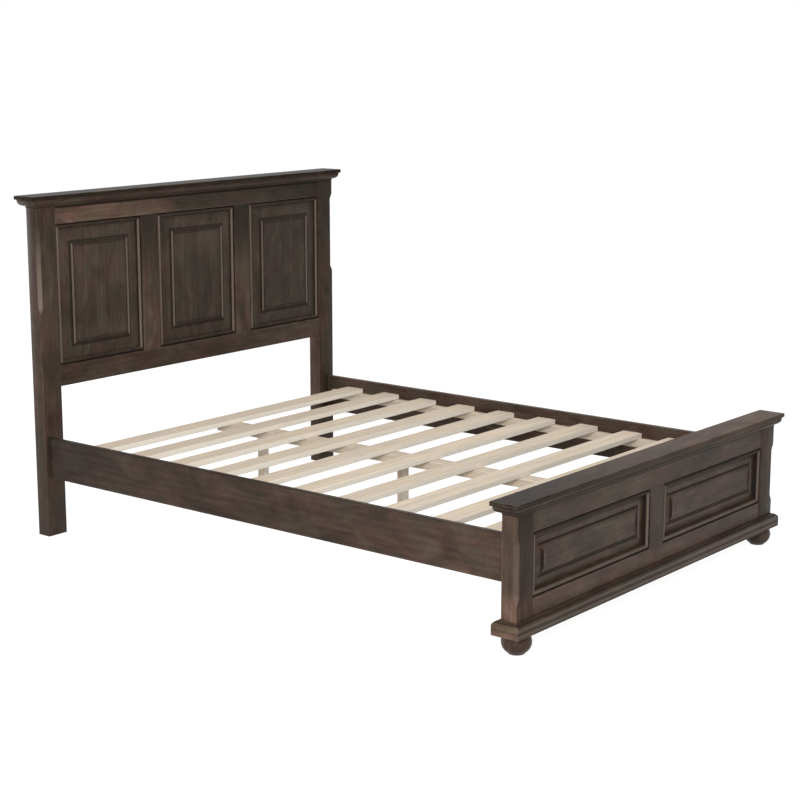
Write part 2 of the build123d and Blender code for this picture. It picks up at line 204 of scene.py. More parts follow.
def by_ray(tree, for_light, for_camera):
    """One shader for the rays that carry light, another for camera and mirror rays."""
    path = add_node(tree, "ShaderNodeLightPath")
    seen = sum_node(
        tree, "MAXIMUM", path.outputs["Is Camera Ray"], path.outputs["Is Glossy Ray"]
    )
    seen = sum_node(tree, "MAXIMUM", seen, path.outputs["Is Transmission Ray"])
    choice = add_node(tree, "ShaderNodeMixShader")
    tree.links.new(seen, choice.inputs[0])
    tree.links.new(for_light.outputs[0], choice.inputs[1])
    tree.links.new(for_camera.outputs[0], choice.inputs[2])
    return choice.outputs[0]


world = bpy.data.worlds.new("studio")
scene.world = world
world.use_nodes = True
world_tree = world.node_tree
world_tree.nodes.clear()
plain_sky = add_node(world_tree, "ShaderNodeBackground")
feed(world_tree, plain_sky, Color=white_paint, Strength=world_level)
white_sky = add_node(world_tree, "ShaderNodeBackground")
feed(world_tree, white_sky, Color=white_paint, Strength=1)
world_end = add_node(world_tree, "ShaderNodeOutputWorld")
world_tree.links.new(by_ray(world_tree, plain_sky, white_sky), world_end.inputs["Surface"])


def soft_box(name, place, aim, size, watts):
    """A rectangular studio lamp at place that faces the point aim; size is width and height."""
    lamp = bpy.data.lights.new(name, "AREA")
    lamp.shape = "RECTANGLE"
    lamp.size, lamp.size_y = size
    lamp.energy = watts
    stand = bpy.data.objects.new(name, lamp)
    stand.location = place
    stand.rotation_euler = (Vector(place) - Vector(aim)).to_track_quat("Z", "Y").to_euler()
    scene.collection.objects.link(stand)


soft_box("main_soft_box", (-5.6, -3.4, 2.6), (-0.2, -0.4, 0.4), size=(1.6, 1.6), watts=310)
soft_box("overhead_soft_box", (0.3, -0.8, 4.6), (0.0, -0.3, 0.3), size=(2.6, 2.6), watts=85)
soft_box("back_soft_box", (-1.0, 5.6, 1.1), (0.0, 1.0, 0.7), size=(1.6, 1.2), watts=80)

# %% [markdown]
# ## The floor
# The floor shows white but keeps the bed's shadow. For the camera it is a faint grey surface with
# white light added, so that only the shadow falls below white. For the rays that carry light it
# is plain pale paint, so that it throws a natural amount back up under the bed.

# %% Floor
floor_size = 60
paint_grey = (0.7, 0.7, 0.7, 1)
shadow_grey = (0.3, 0.3, 0.3, 1)
floor_lift = 0.92
bpy.ops.object.select_all(action="DESELECT")
bpy.ops.mesh.primitive_plane_add(size=floor_size, location=(0, 0, 0))
floor = bpy.context.object
floor.name = "studio_floor"
floor_paint = bpy.data.materials.new("pale_floor")
floor_paint.use_nodes = True
floor_tree = floor_paint.node_tree
floor_tree.nodes.clear()
matt = add_node(floor_tree, "ShaderNodeBsdfDiffuse")
feed(floor_tree, matt, Color=paint_grey)
shadow_catch = add_node(floor_tree, "ShaderNodeBsdfDiffuse")
feed(floor_tree, shadow_catch, Color=shadow_grey)
lift = add_node(floor_tree, "ShaderNodeEmission")
feed(floor_tree, lift, Color=white_paint, Strength=floor_lift)
lifted = add_node(floor_tree, "ShaderNodeAddShader")
floor_tree.links.new(shadow_catch.outputs[0], lifted.inputs[0])
floor_tree.links.new(lift.outputs[0], lifted.inputs[1])
floor_end = add_node(floor_tree, "ShaderNodeOutputMaterial")
floor_tree.links.new(by_ray(floor_tree, matt, lifted), floor_end.inputs["Surface"])
floor.data.materials.append(floor_paint)
print("floor:", floor.name)

# %% [markdown]
# ## Eased edges
# No edge on a real bed is knife sharp: a sander takes about a millimetre off each, and that
# narrow slope is what catches the light. The edges could be bevelled by hand, part by part, but
# the measured meshes have to stay as they are. Modifiers do the sanding instead: Weld joins the
# loose triangles, Decimate clears the lines across flat faces, and Bevel rounds what is left
# sharper than thirty degrees.

# %% Ease the edges of the measured parts
edge_radius = 0.0012
loose_gap = 0.00002
flat_angle = math.radians(1)
sharp_angle = math.radians(30)


def ease_edges(part, radius):
    weld = part.modifiers.new("join_faces", "WELD")
    weld.merge_threshold = loose_gap
    flat = part.modifiers.new("clear_flats", "DECIMATE")
    flat.decimate_type = "DISSOLVE"
    flat.angle_limit = flat_angle
    sand = part.modifiers.new("sand_edges", "BEVEL")
    sand.width = radius
    sand.segments = 2
    sand.limit_method = "ANGLE"
    sand.angle_limit = sharp_angle
    sand.harden_normals = True


for part in parts.values():
    ease_edges(part, edge_radius)
print("edges eased on", len(parts), "parts")

# %% [markdown]
# ## Bun feet
# Each front corner stands on a turned bun foot, a flattened ball with its top and bottom cut
# flat. On a lathe that is one sweep of the gouge. A spun profile would do it too. Here a sphere
# is the start, because it needs no profile: it is squashed, sliced flat at both ends, and the two
# sharp rims are eased.

# %% Turn the bun feet
glide_top = 0.003
post_foot = 0.063
bun_middle = 0.038
bun_radius = 0.048
bun_half_height = 0.0423
bun_arris = 0.0012
smooth_angle = math.radians(35)
bun_low, bun_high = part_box("bun_feet")
bun_x = bun_high.x - bun_radius
bun_y = (bun_low.y + bun_high.y) / 2


def pick_faces(mesh, wanted):
    """Selects the faces for which wanted(face) is true, and nothing else, in edit mode."""
    bpy.ops.mesh.select_mode(type="FACE")
    bpy.ops.mesh.select_all(action="DESELECT")
    bpy.ops.object.mode_set(mode="OBJECT")
    for face in mesh.polygons:
        face.select = wanted(face)
    bpy.ops.object.mode_set(mode="EDIT")


def turn_bun(name, middle_x):
    bpy.ops.object.select_all(action="DESELECT")
    bpy.ops.mesh.primitive_uv_sphere_add(
        segments=64, ring_count=40, radius=bun_radius, location=(middle_x, bun_y, bun_middle)
    )
    foot = bpy.context.object
    foot.name = name
    bpy.ops.object.transform_apply(location=True, rotation=False, scale=False)
    bpy.ops.object.mode_set(mode="EDIT")
    bpy.ops.mesh.select_all(action="SELECT")
    centre = (middle_x, bun_y, bun_middle)
    bpy.ops.transform.resize(value=(1, 1, bun_half_height / bun_radius), center_override=centre)
    bpy.ops.mesh.bisect(
        plane_co=(middle_x, bun_y, post_foot), plane_no=(0, 0, 1), use_fill=True, clear_outer=True
    )
    bpy.ops.mesh.select_all(action="SELECT")
    bpy.ops.mesh.bisect(
        plane_co=(middle_x, bun_y, glide_top), plane_no=(0, 0, 1), use_fill=True, clear_inner=True
    )
    pick_faces(foot.data, lambda face: abs(face.normal.z) > 0.99 and len(face.vertices) > 8)
    bpy.ops.mesh.region_to_loop()
    bpy.ops.mesh.bevel(offset=bun_arris, segments=2, affect="EDGES")
    bpy.ops.object.mode_set(mode="OBJECT")
    bpy.ops.object.shade_smooth_by_angle(angle=smooth_angle)
    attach(foot, "root")
    return foot


bun_left = turn_bun("turned_foot_left", -bun_x)
bun_right = turn_bun("turned_foot_right", bun_x)
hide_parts("bun_feet")
print("bun feet:", len(bun_left.data.polygons), "faces each")

# %% [markdown]
# ## Posts with stopped chamfers
# A joiner planes a slope on the outer front corner of each post. It stops short of both ends and
# runs out in a point. A Boolean cut with a wedge would do it too. Here a block of the post's size
# is sliced at the slope's two ends and only the corner between them is bevelled. Each end's
# leftover corner is then pulled along the post, which draws the slope out to its point.

# %% Chamfer the posts
chamfer_leg = 0.012
run_out = 0.022
chamfer_spans = {"head": (0.860, 1.148), "foot": (0.184, 0.353)}
near = 0.0001


def pick_corner(mesh, place):
    """Selects the one vertex at this place, in edit mode."""
    bpy.ops.mesh.select_mode(type="VERT")
    bpy.ops.mesh.select_all(action="DESELECT")
    bpy.ops.object.mode_set(mode="OBJECT")
    for corner in mesh.vertices:
        corner.select = (corner.co - place).length < near
    bpy.ops.object.mode_set(mode="EDIT")


def chamfered_post(node):
    """A post with a stopped chamfer, in the place of the measured one."""
    low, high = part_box(node)
    bottom, top = chamfer_spans[node[:4]]
    bpy.ops.object.select_all(action="DESELECT")
    bpy.ops.mesh.primitive_cube_add(size=1, location=(low + high) / 2)
    post = bpy.context.object
    post.name = "chamfered_" + node
    post.scale = high - low
    bpy.ops.object.transform_apply(location=True, rotation=False, scale=True)
    bpy.ops.object.mode_set(mode="EDIT")
    for level in (bottom, top):
        bpy.ops.mesh.select_all(action="SELECT")
        bpy.ops.mesh.bisect(plane_co=(0, 0, level), plane_no=(0, 0, 1))
    bpy.ops.mesh.select_mode(type="EDGE")
    bpy.ops.mesh.select_all(action="DESELECT")
    bpy.ops.object.mode_set(mode="OBJECT")
    outer = low.x if "left" in node else high.x
    for edge in post.data.edges:
        ends = [post.data.vertices[i].co for i in edge.vertices]
        on_corner = all(abs(end.x - outer) < near and abs(end.y - low.y) < near for end in ends)
        edge.select = on_corner and all(bottom - near < end.z < top + near for end in ends)
    bpy.ops.object.mode_set(mode="EDIT")
    bpy.ops.mesh.bevel(offset=chamfer_leg, segments=1, affect="EDGES")
    for level, way in ((bottom, -1), (top, 1)):
        pick_corner(post.data, Vector((outer, low.y, level + way * chamfer_leg)))
        bpy.ops.transform.translate(value=(0, 0, way * (run_out - chamfer_leg)))
    bpy.ops.mesh.select_mode(type="EDGE")
    bpy.ops.mesh.select_all(action="DESELECT")
    bpy.ops.mesh.edges_select_sharp(sharpness=sharp_angle)
    bpy.ops.mesh.bevel(offset=edge_radius, segments=2, affect="EDGES")
    bpy.ops.object.mode_set(mode="OBJECT")
    bpy.ops.object.shade_smooth_by_angle(angle=smooth_angle)
    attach(post, "root")
    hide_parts(node)
    return post


posts = {name: chamfered_post(name) for name in parts if "_post_" in name}
print("chamfered posts:", list(posts))

# %% [markdown]
# ## Beads round the raised fields
# On the headboard a thin half-round bead runs round the raised middle of each panel. It is one
# closed frame with mitred corners. It starts as a plane of the field's size, whose inset rim is
# kept and thickened, and the rim's front edges are then rounded over until it is a bead.

# %% Make the field beads
bead_root = 0.003
bead_width = 0.012
bead_stand_out = 0.0015
panel_tongue = 0.009
field_bead_inset = 0.071
round_over = 0.42 * bead_width
bead_smooth_angle = math.radians(40)


def field_bead(name, panel):
    """A half-round frame that sits on the front of a panel, round its raised field."""
    low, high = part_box(panel)
    border = field_bead_inset + panel_tongue
    front = low.y - bead_stand_out
    size_x = (high.x - low.x) - 2 * border
    size_z = (high.z - low.z) - 2 * border
    middle = ((low.x + high.x) / 2, front, (low.z + high.z) / 2)
    bpy.ops.object.select_all(action="DESELECT")
    bpy.ops.mesh.primitive_plane_add(size=1, location=middle, rotation=(math.pi / 2, 0, 0))
    bead = bpy.context.object
    bead.name = name
    bead.scale = (size_x, size_z, 1)
    bpy.ops.object.transform_apply(location=True, rotation=True, scale=True)
    bpy.ops.object.mode_set(mode="EDIT")
    bpy.ops.mesh.select_all(action="SELECT")
    bpy.ops.mesh.inset(thickness=bead_width, use_even_offset=True)
    bpy.ops.mesh.delete(type="ONLY_FACE")
    bpy.ops.mesh.select_all(action="SELECT")
    thickness = (0, bead_stand_out + bead_root, 0)
    bpy.ops.mesh.extrude_region_move(TRANSFORM_OT_translate={"value": thickness})
    bpy.ops.mesh.select_all(action="SELECT")
    bpy.ops.mesh.normals_make_consistent(inside=False)
    bpy.ops.mesh.select_mode(type="EDGE")
    bpy.ops.mesh.select_all(action="DESELECT")
    bpy.ops.object.mode_set(mode="OBJECT")
    for edge in bead.data.edges:
        ends = [bead.data.vertices[i].co for i in edge.vertices]
        at_front = all(abs(end.y - front) < near for end in ends)
        along = ends[1] - ends[0]
        edge.select = at_front and min(abs(along.x), abs(along.z)) < near
    bpy.ops.object.mode_set(mode="EDIT")
    bpy.ops.mesh.bevel(offset=round_over, segments=4, affect="EDGES")
    bpy.ops.object.mode_set(mode="OBJECT")
    bpy.ops.object.shade_smooth_by_angle(angle=bead_smooth_angle)
    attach(bead, "root")
    return bead


head_sides = ("left", "middle", "right")
field_beads = [field_bead("head_field_bead_" + side, "head_panel_" + side) for side in head_sides]
print("field beads:", [bead.name for bead in field_beads])

# %% [markdown]
# ## Grain
# Wood is a bundle of long fibres with growth rings round the heart of the tree. One node group
# draws what all the woods here share, in a space whose X runs along the grain: growth bands,
# fine fibres, short open pores, and the broad clouds where a board drinks more or less stain.
# A photo of wood would do it too, but it repeats and stops at a board's edge. Noise that is
# stretched along X never does. Each finish colours these masks in its own way; the pine leaves
# out the pores.

# %% Grain group
def stretched_noise(tree, place, along, across, detail=2.0, roughness=0.55, distortion=0.0):
    """Noise whose cells are as long as along and as wide as across, in metres."""
    stretch = (1 / along, 1 / across, 1 / across)
    node = add_node(tree, "ShaderNodeTexNoise")
    feed(
        tree, node, Vector=vector_node(tree, "MULTIPLY", place, stretch), Scale=1.0,
        Detail=detail, Roughness=roughness, Distortion=distortion,
    )
    return node.outputs[0]


grain, given, result = new_group(
    "grain",
    {"Place": "vector", "Heart": "vector"},
    {"Bands": "number", "Fibres": "number", "Pores": "number", "Clouds": "number"},
)
place = given["Place"]
rings = add_node(grain, "ShaderNodeTexWave", wave_type="RINGS", rings_direction="X")
from_heart = vector_node(grain, "SUBTRACT", place, given["Heart"])
flowing = vector_node(grain, "MULTIPLY", from_heart, (0.12, 1, 1))
feed(grain, rings, Vector=flowing, Scale=26.0, Distortion=5.0, Detail=2.0)
feed(grain, rings, Detail_Scale=1.3, Detail_Roughness=0.5)
streaks = stretched_noise(grain, place, 0.5, 0.012, 3.0)
ring_share = sum_node(grain, "MULTIPLY", rings.outputs["Fac"], 0.25)
bands = sum_node(grain, "MULTIPLY_ADD", streaks, 0.75, ring_share)
fibres = stretched_noise(grain, place, 0.05, 0.0016, 2.0)
pores = stretched_noise(grain, place, 0.022, 0.0009, 1.0)
clouds = stretched_noise(grain, place, 0.16, 0.07, 4.0, 0.6, 0.8)
grain.links.new(bands, result["Bands"])
grain.links.new(fibres, result["Fibres"])
grain.links.new(fade(grain, pores, 0.60, 0.72), result["Pores"])
grain.links.new(clouds, result["Clouds"])
print("grain group:", len(grain.nodes), "nodes")

# %% [markdown]
# ## Espresso stain
# The hardwood carries a dark grey brown stain under satin lacquer. Stain shows the wood below:
# bands and fibres stay faintly visible, clouds turn redder or greener, and open pores hold more
# dye. One dark colour with grain over it would look like paint, so the colour comes last here,
# from how much dye each spot took. Two masks come from outside. The first lightens towards a tan:
# it carries wear, where handling and sanding thin the stain, and also painted highlights. The
# second darkens towards black: it is painted shade, in cracks, beside beads, under crowns and on
# some front faces.

# %% Stain group
pore_dye = (0.012, 0.008, 0.006, 1)
# tan for worn arrises and for painted highlights; near black for painted shade
worn_and_highlight_tan = (0.210, 0.165, 0.130, 1)
painted_shade_black = (0.004, 0.002, 0.0015, 1)
stain, given, result = new_group(
    "espresso_stain",
    {"Place": "vector", "Heart": "vector", "Tone": "number", "Rub": "number", "Glaze": "number"},
    {"Colour": "colour", "Roughness": "number", "Height": "number"},
)
wood = place_group(stain, grain)
feed(stain, wood, Place=given["Place"], Heart=given["Heart"])
mix = sum_node(stain, "MULTIPLY_ADD", wood.outputs["Clouds"], 0.8, -0.18)
mix = sum_node(stain, "MULTIPLY_ADD", wood.outputs["Bands"], 0.25, mix)
mix = sum_node(stain, "MULTIPLY_ADD", wood.outputs["Fibres"], 0.14, mix)
ramp = ramp_colours(
    stain, mix,
    (0.20, 0.024, 0.0145, 0.0098), (0.45, 0.060, 0.037, 0.0265), (0.75, 0.108, 0.076, 0.059),
)
hue_clouds = stretched_noise(stain, given["Place"], 0.13, 0.06, 3.0)
hue = fade(stain, hue_clouds, 0.38, 0.62)
warm = blend_colours(stain, "MIX", hue, (0.90, 1.03, 0.95, 1), (1.07, 0.98, 1.00, 1))
tinted = blend_colours(stain, "MULTIPLY", 1.0, ramp, warm)
toned = scale_colour(stain, tinted, given["Tone"])
pore_share = sum_node(stain, "MULTIPLY", wood.outputs["Pores"], 0.35)
pored = blend_colours(stain, "MIX", pore_share, toned, pore_dye)
# lightened towards tan for wear and painted highlights, then darkened by the painted shade
lightened = blend_colours(stain, "MIX", given["Rub"], pored, worn_and_highlight_tan)
shaded = blend_colours(stain, "MIX", given["Glaze"], lightened, painted_shade_black)
stain.links.new(shaded, result["Colour"])
sheen = sum_node(stain, "MULTIPLY_ADD", wood.outputs["Fibres"], 0.12, 0.36)
dulled = sum_node(stain, "MULTIPLY_ADD", given["Glaze"], 0.35, sheen)
stain.links.new(dulled, result["Roughness"])
sunk_pores = sum_node(stain, "MULTIPLY", wood.outputs["Pores"], -1.0)
relief = sum_node(stain, "MULTIPLY_ADD", wood.outputs["Fibres"], 0.5, sunk_pores)
stain.links.new(relief, result["Height"])
print("stain group:", len(stain.nodes), "nodes")

# %% [markdown]
# ## Rubbed edges
# Stain and lacquer are thinnest along an edge, where cloth and hands rub. A board is close to a
# box, so the distance from its nearest edge is the second smallest of the three distances from
# its faces. The group works that out from the board's middle and half size, and breaks the line
# up with noise, because wear is never even.

# %% Edge group
edge_wear, given, result = new_group(
    "edge_wear",
    {"Place": "vector", "Middle": "vector", "Half": "vector", "Width": "number"},
    {"Rub": "number"},
)
from_middle = vector_node(edge_wear, "SUBTRACT", given["Place"], given["Middle"])
offset = vector_node(edge_wear, "ABSOLUTE", from_middle)
to_faces = vector_node(edge_wear, "SUBTRACT", given["Half"], offset)
gap_x, gap_y, gap_z = split(edge_wear, to_faces)
lesser = sum_node(edge_wear, "MINIMUM", gap_x, gap_y)
greater = sum_node(edge_wear, "MAXIMUM", gap_x, gap_y)
second = sum_node(edge_wear, "MINIMUM", greater, gap_z)
to_edge = sum_node(edge_wear, "MAXIMUM", lesser, second)
widths_away = sum_node(edge_wear, "DIVIDE", to_edge, given["Width"])
share = sum_node(edge_wear, "SUBTRACT", 1.0, widths_away)
patchy = add_node(edge_wear, "ShaderNodeTexNoise")
feed(edge_wear, patchy, Vector=given["Place"], Scale=22.0, Detail=3.0)
uneven = fade(edge_wear, patchy.outputs[0], 0.35, 0.65)
worn = sum_node(edge_wear, "MULTIPLY", fade(edge_wear, share, 0.0, 0.7), uneven)
edge_wear.links.new(worn, result["Rub"])
print("edge group:", len(edge_wear.nodes), "nodes")

# %% [markdown]
# ## Lines that follow a panel
# The cracks, beads and steps of a panel all run parallel to its opening. One group measures how
# far in from the opening a point lies, and whether its nearest side is an upright one, so that
# a dark or light line can be laid at any distance by name.

# %% Panel group
panel_lines, given, result = new_group(
    "panel_lines", {"Place": "vector", "Middle": "vector", "Half": "vector"},
    {"Inset": "number", "Upright": "number", "Right": "number", "Low": "number"},
)
from_middle = vector_node(panel_lines, "SUBTRACT", given["Place"], given["Middle"])
away_x, _, away_z = split(panel_lines, from_middle)
offset = vector_node(panel_lines, "ABSOLUTE", from_middle)
in_x, _, in_z = split(panel_lines, vector_node(panel_lines, "SUBTRACT", given["Half"], offset))
panel_lines.links.new(sum_node(panel_lines, "MINIMUM", in_x, in_z), result["Inset"])
panel_lines.links.new(sum_node(panel_lines, "LESS_THAN", in_x, in_z), result["Upright"])
panel_lines.links.new(sum_node(panel_lines, "GREATER_THAN", away_x, 0.0), result["Right"])
panel_lines.links.new(sum_node(panel_lines, "LESS_THAN", away_z, 0.0), result["Low"])


def line_at(tree, distance, centre, half_width):
    """1 on a line at that distance, fading to 0 at half_width either side."""
    away = sum_node(tree, "ABSOLUTE", sum_node(tree, "SUBTRACT", distance, centre))
    return fade(tree, away, half_width, half_width * 0.4)


def either(tree, *masks):
    """The strongest of several masks."""
    strongest = masks[0]
    for mask in masks[1:]:
        strongest = sum_node(tree, "MAXIMUM", strongest, mask)
    return strongest


def share_of(tree, *masks):
    """Several masks or numbers multiplied together."""
    product = masks[0]
    for mask in masks[1:]:
        product = sum_node(tree, "MULTIPLY", product, mask)
    return product


def unless(tree, mask):
    """The reverse of a mask."""
    return sum_node(tree, "SUBTRACT", 1.0, mask)


print("panel group:", len(panel_lines.nodes), "nodes")

# %% [markdown]
# ## One board, one material
# No two boards come from the same place in the tree. So each piece gets its own material: the
# same stain group, with the pattern turned to run along that piece and moved to a fresh place.
# One material for all would be less work, but the grain would run straight across the joints.
# A board's tone may also drift from one end to the other; these drifts paint light and shade
# along the board.

# %% Board helpers
grain_turns = {
    "x": (0.0, 0.0, 0.0),
    "y": (0.0, 0.0, -math.pi / 2),
    "z": (0.0, math.pi / 2, 0.0),
}
board_count = 0


def board_place(tree, where, runs, seed):
    """Object coordinates, turned so that X runs along the grain, at a place of the board's own."""
    turn = add_node(tree, "ShaderNodeMapping")
    feed(tree, turn, Location=(seed * 3.71, seed * 1.37, seed * 2.19), Rotation=grain_turns[runs])
    tree.links.new(where, turn.inputs["Vector"])
    return turn.outputs[0]


def drifting_tone(tree, where, stops):
    """A tone that starts at the first stop; the others, (axis, from, to, change), add to it."""
    axes = split(tree, where)
    tone = stops[0]
    for axis, start, end, change in stops[1:]:
        along = fade(tree, axes[axis], start, end)
        tone = sum_node(tree, "MULTIPLY_ADD", along, change, tone)
    return tone


def half_size(low, high):
    return (low + high) / 2, (high - low) / 2


def start_finish(name, group, runs, tones):
    """A new material with this finish group, fed with its place in the tree and its tone."""
    global board_count
    board_count += 1
    finish = bpy.data.materials.new(name)
    finish.use_nodes = True
    tree = finish.node_tree
    where = add_node(tree, "ShaderNodeTexCoord").outputs["Object"]
    coat = place_group(tree, group)
    seed = board_count * 1.618
    heart = (0, seed * 1.37 - 0.35 + 0.09 * (board_count % 5), seed * 2.19 - 0.3)
    feed(tree, coat, Place=board_place(tree, where, runs, seed), Heart=heart)
    feed(tree, coat, Tone=drifting_tone(tree, where, tones))
    return finish, tree, where, coat


def end_finish(tree, coat, depth, gloss, cast=(1, 1, 1, 1)):
    """Joins the finish group to the shader; cast tints the whole piece a little."""
    shader = tree.nodes["Principled BSDF"]
    colour = blend_colours(tree, "MULTIPLY", 1.0, coat.outputs["Colour"], cast)
    bump = add_node(tree, "ShaderNodeBump")
    feed(tree, bump, Height=coat.outputs["Height"], Distance=depth, Strength=0.6)
    feed(tree, shader, Base_Color=colour, Roughness=coat.outputs["Roughness"])
    feed(tree, shader, Specular_IOR_Level=gloss)
    tree.links.new(bump.outputs[0], shader.inputs["Normal"])


def put_on(piece, finish):
    piece.data.materials.clear()
    piece.data.materials.append(finish)


def edge_rub(tree, where, piece, width, strength):
    corners = [Vector(v.co) for v in piece.data.vertices]
    low = Vector([min(c[i] for c in corners) for i in range(3)])
    high = Vector([max(c[i] for c in corners) for i in range(3)])
    middle, half = half_size(low, high)
    edge = place_group(tree, edge_wear)
    feed(tree, edge, Place=where, Middle=middle, Half=half, Width=width)
    return share_of(tree, edge.outputs["Rub"], strength)


print("board helpers ready")

# %% [markdown]
# ## Stained boards
# Tones differ from board to board. The numbers scale the stain's middle tone, and the drifts say
# where along the board it turns lighter or darker; besides the stain's own differences they paint
# light and shade, darker towards the top of the headboard's stiles and posts, and lighter low on
# the near foot post and towards the foot cap's right end. Wear and painted light are laid on top:
# dark level lines of painted shade where two boards meet and in the moulding creases, light level
# lines of painted highlight on the mouldings, painted shade on the front of some posts and caps,
# and a painted highlight on the chamfers. A painted mask would need a flat layout of every board.
# Heights and directions are known here, so the masks are worked out from them, all in metres.

# %% Stained boards
# tones, with drifts that paint light and shade along each board
tones_and_painted_light = {
    "head_top_rail": [2.1, ("X", -0.45, 0.05, -1.25), ("X", 0.1, 0.7, -0.4)],
    "head_stile_left": [1.25, ("Z", 0.85, 1.1, -0.8)],
    "head_stile_right": [1.2, ("Z", 0.85, 1.1, -0.85)],
    "head_post_left": [1.2, ("Z", 0.3, 0.02, -0.4), ("Z", 0.9, 1.2, -0.3)],
    "head_post_right": [1.25, ("Z", 0.7, 1.1, -0.55)],
    "head_bottom_rail": [0.9, ("X", 0.2, 0.7, 0.15)],
    "head_cap": [0.42],
    "head_crown": [0.9],
    "foot_cap": [0.34, ("X", -0.75, -0.05, 0.75), ("X", 0.0, 0.8, 0.5)],
    "foot_crown": [0.9, ("X", -0.2, 0.7, 0.5)],
    "foot_top_rail": [0.9, ("X", -0.5, -0.3, 0.3), ("X", -0.1, 0.3, -0.2)],
    "foot_bottom_rail": [1.4, ("X", -0.2, 0.6, -0.25)],
    "foot_stile": [0.85],
    "foot_post_left": [1.25, ("Z", 0.22, 0.14, 1.1)],
    "foot_post_right": [1.0],
    "side_rail_left": [0.95, ("Y", 0.4, 1.0, -0.3), ("Y", -0.2, -0.9, 0.25)],
    "side_rail_right": [1.1],
    "foot_base_left": [2.1],
    "foot_base_front": [1.0],
}
board_gloss = 0.13
cap_gloss = 0.05
bead_gloss = 0.16
half_turned = 0.7071
# painted highlight on the chamfers: where it starts to brighten, where it is brightest,
# by how much, and its least brightness
chamfer_highlight_levels = {"head": (1.15, 0.95, 0.4, 0.105), "foot": (0.20, 0.165, 0.5, 0.175)}
# painted shade: dark lines under the crowns, in the moulding creases and along the left side rail,
# each (height, half width, strength)
painted_shade_lines = {
    "head_top_rail": [(1.2235, 0.004, 0.9)],
    "head_crown": [(1.2275, 0.002, 0.8), (1.2560, 0.002, 0.8)],
    "foot_crown": [(0.4695, 0.002, 0.8), (0.4580, 0.003, 0.6), (0.4410, 0.002, 0.8)],
    "foot_base_front": [(0.1060, 0.004, 0.65), (0.0830, 0.004, 0.45)],
    "foot_base_left": [(0.1060, 0.004, 0.5), (0.0830, 0.004, 0.3)],
    "side_rail_left": [(0.3765, 0.002, 0.7)],
}
# painted highlights: light lines on the lit flanks of the foot crown, cap and base
painted_highlight_lines = {
    "foot_crown": [(0.4470, 0.004, 0.3)],
    "foot_cap": [(0.4780, 0.003, 0.2)],
    "foot_base_front": [(0.0945, 0.005, 0.3), (0.0740, 0.005, 0.25)],
}
# painted shade on the front faces of these posts and caps, by strength
painted_front_shades = {
    "foot_post_left": 0.5, "head_post_left": 0.15, "head_post_right": 0.3, "foot_post_right": 0.1,
    "head_cap": 0.05, "foot_cap": 0.15,
}


def level_lines(tree, where, lines):
    """Lines that run level at given heights, each (height, half width, strength)."""
    height = split(tree, where)["Z"]
    return either(
        tree, *(share_of(tree, line_at(tree, height, at, wide), much) for at, wide, much in lines)
    )


def painted_front_shade(tree, strength):
    """Painted shade on faces that look to the front."""
    facing = add_node(tree, "ShaderNodeNewGeometry")
    forward = split(tree, facing.outputs["True Normal"])["Y"]
    return share_of(tree, fade(tree, forward, -0.85, -0.97), strength)


def chamfer_highlight(tree, where, name):
    """Painted highlight on the slanted facet that is cut off a post's outer front corner,
    brightest towards its lower end.
    """
    outward = -half_turned if "left" in name else half_turned
    facing = add_node(tree, "ShaderNodeNewGeometry")
    aim = add_node(tree, "ShaderNodeVectorMath", operation="DOT_PRODUCT")
    tree.links.new(facing.outputs["True Normal"], aim.inputs[0])
    aim.inputs[1].default_value = (outward, -half_turned, 0.0)
    facet = fade(tree, aim.outputs["Value"], 0.90, 0.97)
    dull_end, bright_end, gain, least = chamfer_highlight_levels[name[:4]]
    lower = fade(tree, split(tree, where)["Z"], dull_end, bright_end)
    return share_of(tree, facet, sum_node(tree, "MULTIPLY_ADD", lower, gain, least))


def stained_board(piece, name, runs, rub_width=0.004, rub_strength=0.22):
    tones = tones_and_painted_light.get(name, [1.0])
    finish, tree, where, coat = start_finish(name + "_stain", stain, runs, tones)
    rub_and_highlight = edge_rub(tree, where, piece, rub_width, rub_strength)
    # edge wear, with a painted highlight added on a post's chamfer
    if "post" in name:
        rub_and_highlight = either(tree, rub_and_highlight, chamfer_highlight(tree, where, name))
    # painted highlight lines on the mouldings
    if name in painted_highlight_lines:
        rub_and_highlight = either(tree, rub_and_highlight, level_lines(tree, where, painted_highlight_lines[name]))
    feed(tree, coat, Rub=rub_and_highlight)
    # painted shade lines under the crowns and in the moulding creases
    if name in painted_shade_lines:
        feed(tree, coat, Glaze=level_lines(tree, where, painted_shade_lines[name]))
    # painted shade on the front faces
    if name in painted_front_shades:
        feed(tree, coat, Glaze=painted_front_shade(tree, painted_front_shades[name]))
    end_finish(tree, coat, 0.00025, cap_gloss if name.endswith("cap") else board_gloss)
    put_on(piece, finish)


with_panels = [name for name in parts if name.startswith(("head", "foot", "side_rail"))]
stained_names = [name for name in with_panels if "panel" not in name and "bead" not in name]
for name in stained_names:
    runs = "x"
    if "post" in name or "stile" in name:
        runs = "z"
    if name.startswith(("side_rail", "foot_base_left", "foot_base_right")):
        runs = "y"
    stained_board(posts.get(name, parts[name]), name, runs)
for foot in (bun_left, bun_right):
    stained_board(foot, foot.name, "z", 0.0001, 0.0)
print("stained boards:", board_count)

# %% [markdown]
# ## Panels
# Painted shade lies black in the crack round each opening, and as a softer line at the foot of
# each slope. On the footboard it also covers the right-hand slopes, which face away from the
# light, and a wide band on the left; a thin tan painted highlight runs along the left upright
# arris of each field, and a broader one along the right-hand margin. Each line below is given by
# its distance in from the opening and by half its width, in metres, and then by the sides that it
# runs along and its strength. They are on the panel's front only.

# %% Panels
openings = {}
for board, sides in (("head", head_sides), ("foot", ("left", "right"))):
    for side in sides:
        low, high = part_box(board + "_bead_" + side)
        openings[board + "_" + side] = half_size(low, high)


